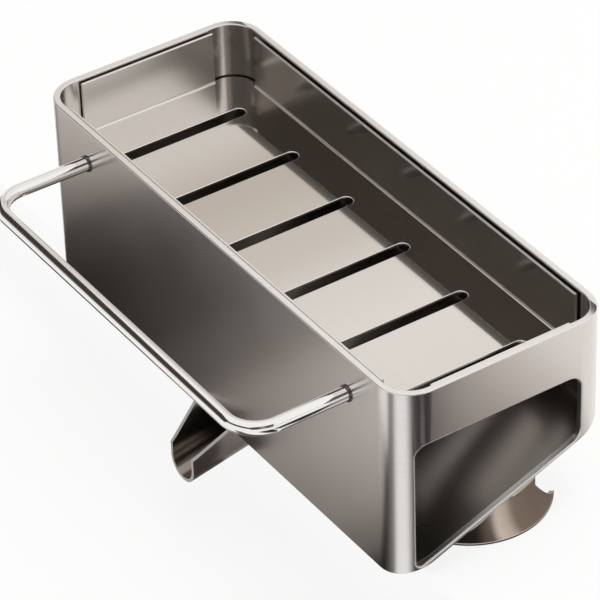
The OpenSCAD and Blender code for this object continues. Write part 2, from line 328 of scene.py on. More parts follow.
# Inside, below the tray, the sheet is darker: painted shade inside the box, on a rougher mill
# finish.
mill_and_shade_steel = satin_steel(
    "mill_finish_painted_shade", "#BDB6B0", "#AAA39C", (300, 300, 900), 0.33, 0.04, 0.12, 0.0)
shell = new_piece(mesh_from("shell", band_points, band_faces), wall_steel)

window_front, window_back = front_face + 8 * MM, box_depth / 2 - 14.5 * MM
window_top = rim_height - 25 * MM
window_radii = [1.5 * MM, 7 * MM, 6 * MM, 6 * MM]
window = round_corners([
    (window_front, lower_face(window_front) + floor_rise),
    (window_back, lower_face(window_back) + floor_rise),
    (window_back, window_top), (window_front, window_top)], window_radii)


def grown(outline, step):
    """A convex outline that turns left, moved outwards by a step."""
    points = []
    for i, spot in enumerate(outline):
        run = (Vector(outline[(i + 1) % len(outline)]) - Vector(outline[i - 1])).normalized()
        points.append((spot[0] + run.y * step, spot[1] - run.x * step))
    return points


def wall_face(y, inset):
    """Where a face of the right end wall stands at a depth y, also round the corner."""
    bend = max(0.0, abs(y) - (box_depth / 2 - corner_radius))
    return box_length / 2 - corner_radius + math.sqrt((corner_radius - inset) ** 2 - bend ** 2)


# The cutter flares at both faces of the wall, which rounds the window's edges over.
# Each step is an inset from the outer face, the way and depth from there, and how far it is grown.
into_box, past_face = 20 * MM, 3 * MM
steps = [(wall, 1, -into_box, broken)]
steps += [(wall, 1, depth, inset) for inset, depth in reversed(quarter)]
# Outside, a fine flat bevel runs round the rounding.
bevel_depth, bevel_width = 0.05 * MM, 0.25 * MM
steps += [(0, -1, depth + bevel_depth, inset) for inset, depth in quarter]
steps += [(0, -1, 0, broken + bevel_width), (0, -1, -past_face, broken + bevel_width)]
cut(shell, loft("window", [
    [(wall_face(y, inset) + way * depth, y, z) for y, z in grown(window, step)]
    for inset, way, depth, step in steps]))

# Two seats for countersunk screws, from inside the front wall.
seat_profile = [(0, -1), (2.8, -1), (2.8, 0), (1.7, 1.3), (1.7, 5), (0, 5)]
for side in (-1, 1):
    cut(shell, lathe("screw_seat", seat_profile, 32, lambda x, z, d: (
        side * rod_leg_x + x, -wall_inside - d, rod_height + z)))
shade(shell)
rim_band = 0.35 * MM
# The rim's top band takes the paler edge colour: ground, and partly a painted highlight.
coat(shell, edge_highlight_steel, lambda c, n: c.z > rim_height - rim_band and (
    n.z > 0.9 or c.x * n.x + c.y * n.y < 0))
# The window lies within this reach of the middle, where wall_face holds.
window_reach = 45 * MM


def in_window(c, inset, low, high, above):
    """Whether a point lies in the window's cut: along X from low off the face at an inset
    to high off the outer face, and more than above over the lower edge."""
    return (abs(c.y) < window_reach
            and wall_face(c.y, inset) + low < c.x < wall_face(c.y, 0) + high
            and lower_face(c.y) + above < c.z < window_top + MM)


# The window's cut faces take the paler edge colour, partly a painted highlight.
coat(shell, edge_highlight_steel, lambda c, n: in_window(c, wall, 0.06 * MM, -0.06 * MM, 0.5 * MM))
# The window's outer bevel and rounding were cut last; their brightest colour is partly a painted
# highlight, the thin bright outline of the window.
cut_highlight_steel = satin_steel(
    "cut_edge_painted_highlight", "#FAF8F6", "#EFECE9", (700, 700, 700), 0.5, 0.03, 0.05, 0.0)


def turned_off(c, n):
    """How far a face at the right end turns off the wall's face, as a cosine."""
    bend = max(0.0, abs(c.y) - (box_depth / 2 - corner_radius)) * (1 if c.y > 0 else -1)
    out = Vector((math.sqrt(corner_radius ** 2 - bend ** 2), bend, 0)) / corner_radius
    return out.dot(n)


# The window's outer bevel and rounding take the brightest cut colour, partly a painted highlight.
# The bevel's zone begins 0.4 mm below the outer face.
coat(shell, cut_highlight_steel, lambda c, n: (
    in_window(c, 0, -0.4 * MM, MM, 0.3 * MM) and 0.3 < turned_off(c, n) < 0.995))
hair = 0.01 * MM
# The inner faces below the tray take that darker colour as painted shade.
coat(shell, mill_and_shade_steel, lambda c, n: (
    c.z < tray_base and abs(n.z) < 0.1 and c.x * n.x + c.y * n.y < 0
    and abs(c.x) < box_length / 2 - wall + hair and abs(c.y) < wall_inside + hair))
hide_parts("body_shell")
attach(shell, "holder")


# Floor pan
# A 1.2 mm stainless sheet welded inside the band along its lower edge, falling to the front.
# A notch at the middle of the front edge lets the water out into the spout.
pan_plan = round_plan(box_length - 2 * wall, box_depth - 2 * wall, corner_radius - wall)
# Darker than the walls as painted shade inside the box, with its grain along X: it mirrors the tray
# above as a soft streak.
floor_shade_steel = satin_steel(
    "satin_floor_painted_shade", "#A8A19B", "#968F89", (4, 2600, 2600), 0.25, 0.03, 0.1, 0.3)
pan = new_piece(prism("pan", pan_plan, lambda p, side: (
    p[0], p[1], lower_face(p[1]) + side * floor_rise)), floor_shade_steel)
notch_half, notch_back, notch_radius = 9 * MM, -wall_inside + 6 * MM, 2.5 * MM
# The punch that cuts the notch starts before the pan's edge, and stands from low to high.
notch_start, notch_low, notch_high = -wall_inside - 2 * MM, -5 * MM, 45 * MM
notch = [(-notch_half, notch_start)]
notch += [(
    -notch_half + notch_radius - notch_radius * math.cos(math.radians(a)),
    notch_back - notch_radius + notch_radius * math.sin(math.radians(a))) for a in range(0, 91, 10)]
notch += [(-x, y) for x, y in reversed(notch)]
cut(pan, prism("notch", notch, lambda p, side: (p[0], p[1], notch_high if side else notch_low)))
round_edges(pan, 0.25 * MM, 2)
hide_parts("floor_pan")
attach(pan, "holder")


# Tray rests
# Four angles of 1.5 mm stainless sheet, spot welded to the long walls; the tray lies on them.
# One is drawn; the nodes set a row of them along X and turn the row over to the other wall.
def repeat_nodes():
    """Geometry Nodes that set a form out in a row along X, and turn copies of the row about Z."""
    tree = bpy.data.node_groups.new("rows_of_a_form", "GeometryNodeTree")
    sockets = {}
    kinds = {
        "Geometry": "Geometry", "Count": "Int", "Pitch": "Float", "Rows": "Int",
        "Material": "Material"}
    for name, kind in kinds.items():
        sockets[name] = tree.interface.new_socket(
            name=name, in_out="INPUT", socket_type="NodeSocket" + kind)
    tree.interface.new_socket(name="Geometry", in_out="OUTPUT", socket_type="NodeSocketGeometry")
    link = tree.links.new
    add = tree.nodes.new
    given, result = add("NodeGroupInput"), add("NodeGroupOutput")
    # The row starts half its reach before the middle.
    last, reach = add("ShaderNodeMath"), add("ShaderNodeMath")
    last.operation, last.inputs[1].default_value = "SUBTRACT", 1
    link(given.outputs["Count"], last.inputs[0])
    reach.operation = "MULTIPLY"
    link(last.outputs[0], reach.inputs[0])
    link(given.outputs["Pitch"], reach.inputs[1])
    half = add("ShaderNodeMath")
    half.operation, half.inputs[1].default_value = "MULTIPLY", -0.5
    link(reach.outputs[0], half.inputs[0])
    first, step = add("ShaderNodeCombineXYZ"), add("ShaderNodeCombineXYZ")
    line = add("GeometryNodeMeshLine")
    link(half.outputs[0], first.inputs["X"])
    link(given.outputs["Pitch"], step.inputs["X"])
    link(given.outputs["Count"], line.inputs["Count"])
    link(first.outputs[0], line.inputs["Start Location"])
    link(step.outputs[0], line.inputs["Offset"])
    row = add("GeometryNodeInstanceOnPoints")
    link(line.outputs[0], row.inputs["Points"])
    link(given.outputs["Geometry"], row.inputs["Instance"])
    # Each copy of the row is turned by its share of the full circle.
    turns, index = add("GeometryNodeMeshLine"), add("GeometryNodeInputIndex")
    share, angle = add("ShaderNodeMath"), add("ShaderNodeMath")
    turns.inputs["Offset"].default_value = (0, 0, 0)
    link(given.outputs["Rows"], turns.inputs["Count"])
    share.operation, angle.operation = "DIVIDE", "MULTIPLY"
    angle.inputs[1].default_value = 2 * math.pi
    link(index.outputs[0], share.inputs[0])
    link(given.outputs["Rows"], share.inputs[1])
    link(share.outputs[0], angle.inputs[0])
    turned, both = add("ShaderNodeCombineXYZ"), add("GeometryNodeInstanceOnPoints")
    link(angle.outputs[0], turned.inputs["Z"])
    link(turns.outputs[0], both.inputs["Points"])
    link(row.outputs[0], both.inputs["Instance"])
    link(turned.outputs[0], both.inputs["Rotation"])
    whole, painted = add("GeometryNodeRealizeInstances"), add("GeometryNodeSetMaterial")
    link(both.outputs[0], whole.inputs[0])
    link(whole.outputs[0], painted.inputs["Geometry"])
    link(given.outputs["Material"], painted.inputs["Material"])
    link(painted.outputs[0], result.inputs[0])
    return tree, {name: socket.identifier for name, socket in sockets.items()}


row_tree, row_inputs = repeat_nodes()


def set_out(piece, count, pitch, rows=1):
    """Runs the row nodes on a piece and keeps their result as its plain mesh."""
    change = piece.modifiers.new("rows", "NODES")
    change.node_group = row_tree
    values = {"Count": count, "Pitch": pitch, "Rows": rows, "Material": piece.data.materials[0]}
    for name, value in values.items():
        change[row_inputs[name]] = value
    settle(piece)


# The angle's section in mm, from the wall's inner face and the tray's underside.
rest_outline = [
    (0, 0), (0, -10), (-1.5, -10), (-1.5, -3), (-2.0, -2.0), (-3.0, -1.5), (-6, -1.5), (-6, 0)]
rest_width, rest_pitch = 14 * MM, 160 * MM
# The rests take the floor's darker colour, painted shade under the tray.
rests = new_piece(prism("rests", rest_outline, lambda p, side: (
    (side - 0.5) * rest_width, wall_inside + p[0] * MM, tray_base + p[1] * MM)), floor_shade_steel)
round_edges(rests, 0.2 * MM, 2)
set_out(rests, 2, rest_pitch, 2)
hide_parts("tray_rests")
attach(rests, "holder")


# Drain tray
# 1.2 mm stainless sheet, six slots punched through, four flaps bent up, corners left open.
# It lies loose on the rests and lifts out.
clearance, relief = 0.9 * MM, 2.6 * MM
tray_length = box_length - 2 * wall - 2 * clearance
tray_depth = box_depth - 2 * wall - 2 * clearance
tray_radius, bend = corner_radius - wall - clearance, 1.0 * MM
tray_top = rim_height - 1.3 * MM
end_flap = tray_depth - 2 * tray_radius - 2 * relief
long_flap = tray_length - 2 * tray_radius - 2 * relief
outer_bend = bend + sheet
half_length, half_depth = tray_length / 2, tray_depth / 2
# The flat sheet runs to the start of each flap's bend, with a relief cut beside each corner.
arc_points = 11
corners = round_plan(tray_length, tray_depth, tray_radius, arc_points - 1)
plan = []
for k, (x, y) in enumerate(((1, 1), (-1, 1), (-1, -1), (1, -1))):
    corner = corners[arc_points * k:arc_points * (k + 1)]
    relief_end = [
        (x * half_length, y * end_flap / 2), (x * (half_length - outer_bend), y * end_flap / 2)]
    relief_side = [
        (x * long_flap / 2, y * half_depth), (x * long_flap / 2, y * (half_depth - outer_bend))]
    if x * y > 0:
        plan += relief_end[::-1] + corner + relief_side
    else:
        plan += relief_side[::-1] + corner + relief_end
# The smoothest of the sheets: it mirrors the flaps, sharp enough to show where they end.
tray_steel = satin_steel(
    "fine_satin_stainless", "#E5E1DC", "#DBD6D0", (4, 3000, 3000), 0.065, 0.01, 0.04, 0.0)
tray = new_piece(prism("tray", plan, lambda p, side: (
    p[0], p[1], tray_base + side * sheet)), tray_steel)
slot_half, slot_straight = 3 * MM, 28.25 * MM
slot_count, slot_pitch = 6, 40 * MM
slot_plan = []
for start, y in ((0, slot_straight), (180, -slot_straight)):
    for i in range(17):
        angle = math.radians(start + 180 * i / 16)
        slot_plan.append((slot_half * math.cos(angle), y + slot_half * math.sin(angle)))
# The punch flares at both faces of the sheet, which rounds the slots' edges over.
rounded = 0.35 * MM
arc = rounding(rounded)
levels = [(rounded, -past_face)] + [(step, depth) for step, depth in reversed(arc)]
levels += [(step, sheet - depth) for step, depth in arc] + [(rounded, sheet + past_face)]
slots = new_piece(loft("slots", [
    [(x, y, tray_base + level) for x, y in grown(slot_plan, step)]
    for step, level in levels]), tray_steel)
set_out(slots, slot_count, slot_pitch)
punched = slots.data.copy()
bpy.data.objects.remove(slots)
cut(tray, punched)

# Each flap's section runs round the bend to its rounded top, in pairs of an outer and inner point.
flap_path = []
for i in range(9):
    angle = math.radians(-90 + 90 * i / 8)
    flap_path.append((
        (-outer_bend + outer_bend * math.cos(angle), outer_bend + outer_bend * math.sin(angle)),
        (-outer_bend + bend * math.cos(angle), outer_bend + bend * math.sin(angle))))
for inset, depth in arc:
    height = tray_top - tray_base - depth
    flap_path.append(((-inset, height), (inset - sheet, height)))
flap_points, flap_faces = [], []
for width, reach, axis in ((end_flap, half_length, 0), (long_flap, half_depth, 1)):
    for side in (-1, 1):
        start = len(flap_points)
        for end in (-0.5, 0.5):
            for pair in flap_path:
                for out, up in pair:
                    spot = (side * (reach + out), end * width, tray_base + up)
                    flap_points.append(spot if axis == 0 else (spot[1], spot[0], spot[2]))
        rows = len(flap_path)
        for r in range(rows - 1):
            a, b = start + 2 * r, start + 2 * r + 2
            c, d = a + 2 * rows, b + 2 * rows
            flap_faces += [
                (a, b, d, c), (b + 1, a + 1, c + 1, d + 1),
                (a, a + 1, b + 1, b), (c, d, d + 1, c + 1)]
        last = start + 2 * rows - 2
        flap_faces.append((last, last + 1, last + 2 * rows + 1, last + 2 * rows))
        flap_faces.append((start + 1, start, start + 2 * rows, start + 2 * rows + 1))
join = bmesh.new()
join.from_mesh(tray.data)
flap_mesh = mesh_from("flaps", flap_points, flap_faces)
join.from_mesh(flap_mesh)
bpy.data.meshes.remove(flap_mesh)
# The flat sheet and the bends share their edge lines, and the walls left between them go.
bmesh.ops.remove_doubles(join, verts=join.verts, dist=1e-6)
walls_within = [f for f in join.faces if all(len(e.link_faces) > 2 for e in f.edges)]
bmesh.ops.delete(join, geom=walls_within, context="FACES_ONLY")
bmesh.ops.recalc_face_normals(join, faces=join.faces)
join.to_mesh(tray.data)
join.free()
shade(tray)
flap_tones, flap_grain = ("#EDE9E5", "#E2DDD9"), (300, 300, 2600)
# The end flaps are the most matte, and turn from pale to dark in one soft sweep.
flap_steel = satin_steel("satin_flap_stainless", *flap_tones, flap_grain, 0.29, 0.02, 0.06, 0.0)
coat(tray, flap_steel, lambda c, n: abs(n.z) < 0.1 and c.z > tray_base + sheet)
# The long flaps mirror the dark studio more sharply than the end flaps.
long_flap_steel = satin_steel(
    "satin_long_flap_stainless", *flap_tones, flap_grain, 0.2, 0.02, 0.06, 0.0)
coat(tray, long_flap_steel, lambda c, n: abs(n.y) > 0.9 and c.z > tray_base + sheet)
# The tops of the flaps, the slots' edges and the bends catch the light; their paler edge colour is
# partly a painted highlight.
slots_end, slots_side = 105 * MM, 32 * MM
coat(tray, edge_highlight_steel, lambda c, n: c.z > tray_top - rounded or (
    0.02 < abs(n.z) < 0.98 and abs(c.x) < slots_end and abs(c.y) < slots_side))
# The bends are not ground: there the paler colour is only a painted highlight.
coat(tray, edge_highlight_steel, lambda c, n: 0.1 < abs(n.z) < 0.97 and n.x * c.x + n.y * c.y < 0 and (
    tray_base + sheet < c.z < tray_base + outer_bend))
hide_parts("drain_tray")
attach(tray, "tray")


# Cloth bar
# A 6 mm stainless rod, bent to a U and polished bright, screwed on from inside the front wall.
rod_radius, bend_radius, reach = 3 * MM, 14 * MM, 46 * MM
rod_line = []
for t in (0, 0.5, 1):
    rod_line.append(Vector((-rod_leg_x, front_face - t * (reach - bend_radius), rod_height)))
for i in range(1, 25):
    angle = math.radians(180 + 90 * i / 24)
    rod_line.append(Vector((
        -rod_leg_x + bend_radius + bend_radius * math.cos(angle),
        front_face - reach + bend_radius + bend_radius * math.sin(angle), rod_height)))
rod_line += [Vector((-p.x, p.y, p.z)) for p in reversed(rod_line)]
rod_rings, rod_sides = [], 40
turns = [2 * math.pi * k / rod_sides for k in range(rod_sides)]
upright = Vector((0, 0, 1))
for i, spot in enumerate(rod_line):
    ahead = (rod_line[min(i + 1, len(rod_line) - 1)] - rod_line[max(i - 1, 0)]).normalized()
    across = upright.cross(ahead)
    rod_rings.append([
        spot + rod_radius * (across * math.cos(a) + upright * math.sin(a)) for a in turns])
# Nearly a mirror: thin white and dark lines run along it.
rod_steel = satin_steel(
    "polished_stainless", "#F4F3F1", "#ECEAE7", (60, 60, 60), 0.1, 0.01, 0.02, 0.0)
rod = new_piece(loft("rod", rod_rings), rod_steel)
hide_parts("cloth_bar")
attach(rod, "holder")


# Bar collars
# Two thin turned stainless rings that cover the rod's seats on the wall.
# One is turned here, and the nodes set out the pair.
collar_profile = [
    (3.1, 0), (3.65, 0), (3.65, 0.45), (3.58, 0.62), (3.45, 0.7), (3.2, 0.7), (3.1, 0.6), (3.1, 0)]
# Darker than the rod as painted shade, so that each reads as a fine dark shadow line round it.
collar_shade_steel = satin_steel(
    "turned_collar_painted_shade", "#6E6A67", "#5C5855", (900, 300, 900), 0.2, 0.02, 0.05, 0.0)
collars = new_piece(lathe("collars", collar_profile, 48, lambda x, z, d: (
    x, front_face - d, rod_height + z)), collar_shade_steel)
set_out(collars, 2, 2 * rod_leg_x)
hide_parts("bar_collars")
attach(collars, "holder")


# Bar screws
# Two countersunk M3 stainless screws with a socket head, driven from inside the wall into the rod.
# Their heads lie flush, so that the tray's flap passes them; one is drawn and set out twice.
screw_profile = [
    (0, 1.0), (1.1, 1.0), (1.1, 0.05), (1.15, 0), (2.7, 0), (2.8, 0.08),
    (1.5, 1.45), (1.5, 10.6), (1.2, 11), (0, 11)]


def hexagon(row, a):
    """The foot of the socket and its upper edge are drawn in to a hexagon."""
    if row not in (1, 2):
        return 1
    return math.cos(math.pi / 6) / math.cos((a % (math.pi / 3)) - math.pi / 6)


# Turned, with fine rings that scatter the light, so the heads read as grey discs.
screw_steel = satin_steel(
    "turned_stainless", "#A8A5A2", "#8F8B87", (900, 300, 900), 0.3, 0.03, 0.2, 0.0)
screws = new_piece(lathe("screws", screw_profile, 36, lambda x, z, d: (
    x, -wall_inside - d, rod_height + z), hexagon), screw_steel)
round_edges(screws, 0.05 * MM, 1)
set_out(screws, 2, 2 * rod_leg_x)
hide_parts("bar_screws")
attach(screws, "holder")


# Drain spout
# 1.5 mm stainless sheet pressed to a trough, its sides leaning out above a crease.
# Welded to the front wall and under the floor, over the notch; its cut edges are paler, partly as a
# painted highlight.
spout_sheet, trough_radius = 1.5 * MM, 8.5 * MM
mouth, trough_back = front_face - 18.4 * MM, front_face + 11.5 * MM
crease, side_top = lift - 9 * MM, lift + 5.4 * MM
spout_bottom = crease - 14.4 * MM
# How far the sides lean out for their height, and the bottom rises for its depth.
lean, rise = 0.375, 0.2
# Points that would fall together are kept apart by this.
apart = 0.01 * MM


def spout_section(y, top, inset):
    """Half outline of the trough at a depth y, from the bottom to the top of the right side."""
    radius = trough_radius - inset
    axis = spout_bottom + trough_radius + (y - mouth) * rise
    low = crease + inset * (math.sqrt(1 + lean * lean) - 1) / lean
    line = []
    for i in range(13):
        a = math.radians(90 * i / 12)
        height = min(axis - radius * math.cos(a), low - (12 - i) * apart)
        line.append((radius * math.sin(a), height))
    line.append((radius, low))
    upper = max(top, low + apart)
    line.append((radius + (upper - low) * lean, upper))
    return line


def mirrored(line):
    """A half outline with its mirror image, from the left end over the bottom to the right."""
    return [(-x, z) for x, z in reversed(line[1:])] + line


# Depths along the trough with the height of its sides there, to the wall and on under the floor.
stations = [(mouth, crease + 2 * apart)]
for i in range(1, 8):
    t = i / 7
    stations.append((mouth + (front_face - mouth) * t, crease + (side_top - crease) * t))
stations.append((front_face + apart, lower_face(front_face)))
for i in range(1, 4):
    y = front_face + (trough_back - spout_sheet - front_face) * i / 3
    stations.append((y, lower_face(y)))
spout_points = []
for y, top in stations:
    outer = mirrored(spout_section(y, top, 0))
    inner = mirrored(spout_section(y, top, spout_sheet))
    spout_points += [(x, y, z) for x, z in outer + inner[::-1]]
count = len(outer) + len(inner)
spout_faces = ring_faces(len(stations), count)
for base in (0, (len(stations) - 1) * count):
    for k in range(len(outer) - 1):
        spout_faces.append((base + k, base + k + 1, base + count - 2 - k, base + count - 1 - k))
# The back plate starts a hair behind the trough, so that each stays a closed form.
plate_front = trough_back - spout_sheet + 2 * apart
plate = mirrored(spout_section(plate_front, lower_face(plate_front), 0))
start, count = len(spout_points), len(plate)
spout_points += [(x, plate_front, z) for x, z in plate]
for i, (x, z) in enumerate(plate):
    # The two upper ends follow the floor, and the rest the trough.
    climb = slope if i in (0, count - 1) else rise
    spout_points.append((x, trough_back, z + (trough_back - plate_front) * climb))
spout_faces += [
    tuple(range(start, start + count)), tuple(range(start + 2 * count - 1, start + count - 1, -1))]
spout_faces += [tuple(start + i for i in face) for face in ring_faces(2, count)]
# Its outside is the darkest of the sheets, next to the pale mouth: the dark colour is painted
# shade.
spout_grain = (2000, 2000, 60)
spout_shade_steel = satin_steel(
    "pressed_stainless", "#6E655F", "#5C5450", spout_grain, 0.2, 0.03, 0.1, 0.3)
spout = new_piece(mesh_from("spout", spout_points, spout_faces), spout_shade_steel)
# Its rounded edges take the paler edge colour, partly a painted highlight.
round_edges(spout, 0.25 * MM, 2, 40, edge_highlight_steel)
# Its inside sees itself twice over: a paler colour than the outside and a milder finish keep it
# from going black, and it stays darker than the walls as painted shade.
spout_inside_shade_steel = satin_steel(
    "pressed_inside_painted_shade", "#9C948D", "#8A827B", spout_grain, 0.25, 0.03, 0.1, 0.3)
coat(spout, spout_inside_shade_steel, lambda c, n: c.x * n.x < -1e-7 or n.z > 0.5)


def on_side_edge(c):
    """Whether a point lies on the upper edge of a side, between the mouth and the wall."""
    along = (side_top - crease) * (c.y - mouth) / (front_face - mouth)
    return abs(c.z - crease - along) < 0.4 * MM


# The mouth and the sides' upper edges take the brightest cut colour, partly a painted highlight.
coat(spout, cut_highlight_steel, lambda c, n: c.y < front_face and (
    c.y < mouth + 0.1 * MM or n.z > 0.4 and on_side_edge(c)))
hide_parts("drain_spout")
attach(spout, "holder")


# Legs
# 2 mm stainless sheet, rolled to an arc: a narrow neck that flares to a wide foot.
# The neck's flange is bent in under the floor and spot welded there.
leg_radius, leg_sheet, leg_setback = 33.8 * MM, 2 * MM, 6.5 * MM
leg_centre = box_length / 2 - 0.7 * MM - leg_radius
foot_half, neck_half, neck_height, sole = 27 * MM, 8.3 * MM, 21 * MM, 0.8 * MM
leg_bend, flange = 3.2 * MM, 18 * MM
# Each side of the leg is an arc, hollow to the outside, from the foot up to the neck.
foot_spot, neck_spot = Vector((foot_half, sole)), Vector((neck_half, neck_height))
chord = neck_spot - foot_spot
side_radius, side_steps = 95 * MM, 16
outward = Vector((chord[1], -chord[0])).normalized()
arc_middle = (foot_spot + neck_spot) / 2
arc_middle += outward * math.sqrt(side_radius ** 2 - chord.length_squared / 4)
arc_reach = math.asin(chord.length / 2 / side_radius)
leg_rows = []
for i in range(side_steps):
    angle = arc_reach * (2 * i / side_steps - 1)
    spot = arc_middle - side_radius * (
        outward * math.cos(angle) - chord.normalized() * math.sin(angle))
    leg_rows.append((spot.x, spot.y))
columns = 24


def leg_points_at(half_width, height, set_in):
    """Row of points across the leg's outer face, moved inwards by set_in."""
    row, run = [], leg_radius - set_in
    for k in range(columns + 1):
        angle = math.asin(half_width * (2 * k / columns - 1) / leg_radius)
        row.append((
            leg_centre + run * math.cos(angle), leg_setback + run * math.sin(angle), height))
    return row


def neck_point(y, step, set_in):
    """Point above the neck: steps 0 to 2 rise, 3 to 11 bend in, 12 and 13 are the flange."""
    face_x = leg_centre + leg_radius * math.cos(math.asin(y / leg_radius))
    depth = leg_setback + y
    under = lower_face(depth)
    if step <= 2:
        # Where the floor comes down to the neck, the rows lie a hair apart.
        straight = under - leg_bend - neck_height
        climb = straight * step / 2 if straight > 0 else step * apart
        return face_x - set_in, depth, neck_height + climb
    if step <= 11:
        a = math.radians(90 * (step - 3) / 8)
        r = leg_bend - set_in
        return face_x - leg_bend + r * math.cos(a), depth, under - leg_bend + r * math.sin(a)
    end_x = leg_centre + leg_radius - flange
    return end_x + (face_x - leg_bend - end_x) * (13 - step) / 2, depth, under - set_in


def leg_grid(set_in):
    """All rows of one face of the leg, from the foot to the end of the flange."""
    across = [neck_half * (2 * k / columns - 1) for k in range(columns + 1)]
    return [leg_points_at(half_width, height, set_in) for half_width, height in leg_rows] + [
        [neck_point(y, step, set_in) for y in across] for step in range(14)]


outer_grid, inner_grid = leg_grid(0), leg_grid(leg_sheet)
width = columns + 1
total = len(outer_grid) * width
leg_points = [p for row in outer_grid + inner_grid for p in row]
leg_faces = []
for r in range(len(outer_grid) - 1):
    for k in range(columns):
        a = r * width + k
        b = a + total
        leg_faces.append((a, a + 1, a + 1 + width, a + width))
        leg_faces.append((b + width, b + 1 + width, b + 1, b))
    for k in (0, columns):
        a = r * width + k
        leg_faces.append((a, a + width, a + width + total, a + total))
for r in (0, len(outer_grid) - 1):
    for k in range(columns):
        a = r * width + k
        leg_faces.append((a, a + 1, a + 1 + total, a + total))
# Warmer than the walls, its grain upright; the bright streak down the curve is the painted
# reflection of the leg card.
leg_steel = satin_steel(
    "rolled_stainless", "#C9BDB3", "#B4A89E", (40, 40, 2200), 0.2, 0.03, 0.1, 0.3)


def mid_sheet(c):
    """Whether a point of a leg lies well between the sheet's two faces, on an edge of it."""
    from_axis = math.hypot(abs(c.x) - leg_centre, c.y - leg_setback)
    return leg_radius - 1.6 * MM < from_axis < leg_radius - 0.4 * MM


for name, side in (("right_leg", 1), ("left_leg", -1)):
    placed = [(side * x, y, z) for x, y, z in leg_points]
    leg = new_piece(mesh_from(name + "_sheet", placed, leg_faces), leg_steel)
    shade(leg)
    # The sheet's cut edges take the paler edge colour, partly a painted highlight.
    coat(leg, edge_highlight_steel, lambda c, n: c.z < neck_height and mid_sheet(c))
    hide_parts(name)
    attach(leg, "holder")


# Leg soles
# A thin black rubber edging along the lower edge of each leg, so that it does not scratch.
# Near black and matte below the bright sheet.
sole_rubber, shader = new_material("black_rubber_edging")
place = add_node(sole_rubber, "ShaderNodeTexCoord")
pores = add_node(sole_rubber, "ShaderNodeTexNoise", inputs={"Scale": 900.0, "Detail": 3.0})
sole_rubber.node_tree.links.new(place.outputs["Object"], pores.inputs["Vector"])
two_tones(sole_rubber, shader, pores.outputs["Fac"], "#17161A", "#262527")
shader.inputs["Roughness"].default_value = 0.6
sole_points, sole_faces = [], []
for side in (1, -1):
    start = len(sole_points)
    for set_in, height in ((0, 0), (0, sole), (leg_sheet, sole), (leg_sheet, 0)):
        sole_points += [(side * x, y, z) for x, y, z in leg_points_at(foot_half, height, set_in)]
    for k in range(columns):
        for row, next_row in ((0, 1), (1, 2), (2, 3), (3, 0)):
            a, b = start + row * width + k, start + next_row * width + k
            sole_faces.append((a, a + 1, b + 1, b))
    for k in (0, columns):
        sole_faces.append(tuple(start + a * width + k for a in range(4)))
soles = new_piece(mesh_from("soles", sole_points, sole_faces), sole_rubber)
round_edges(soles, 0.12 * MM, 2, 50)
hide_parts("leg_soles")
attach(soles, "holder")


# Studio
# A white counter board on a white floor, soft light from above, and a white surround.
# Glowing cards that only reflections see paint the steel's dark and light reflected bands, as in
# the photograph.
def seen_ray(owner):
    """Socket of a material or the world that is 1 on camera, glossy and transmission rays."""
    link = owner.node_tree.links.new
    path = add_node(owner, "ShaderNodeLightPath")
    first = add_node(owner, "ShaderNodeMath", {"operation": "MAXIMUM"})
    second = add_node(owner, "ShaderNodeMath", {"operation": "MAXIMUM"})
    link(path.outputs["Is Camera Ray"], first.inputs[0])
    link(path.outputs["Is Glossy Ray"], first.inputs[1])
    link(first.outputs[0], second.inputs[0])
    link(path.outputs["Is Transmission Ray"], second.inputs[1])
    return second.outputs[0]


def paper(name, seen_share):
    """White paper; a share of what the camera and reflections see is white without shadow."""
    material, shader = new_material(name)
    shader.inputs["Base Color"].default_value = srgb("#F4F3F1")
    shader.inputs["Roughness"].default_value = 0.9
    part = add_node(material, "ShaderNodeMath", {"operation": "MULTIPLY"})
    link = material.node_tree.links.new
    link(seen_ray(material), part.inputs[0])
    part.inputs[1].default_value = seen_share
    white = add_node(material, "ShaderNodeEmission", inputs={
        "Color": (1, 1, 1, 1), "Strength": 1.0})
    either = add_node(material, "ShaderNodeMixShader")
    link(part.outputs[0], either.inputs["Fac"])
    link(shader.outputs[0], either.inputs[1])
    link(white.outputs[0], either.inputs[2])
    out = [n for n in material.node_tree.nodes if n.type == "OUTPUT_MATERIAL"][0]
    link(either.outputs[0], out.inputs["Surface"])
    return material


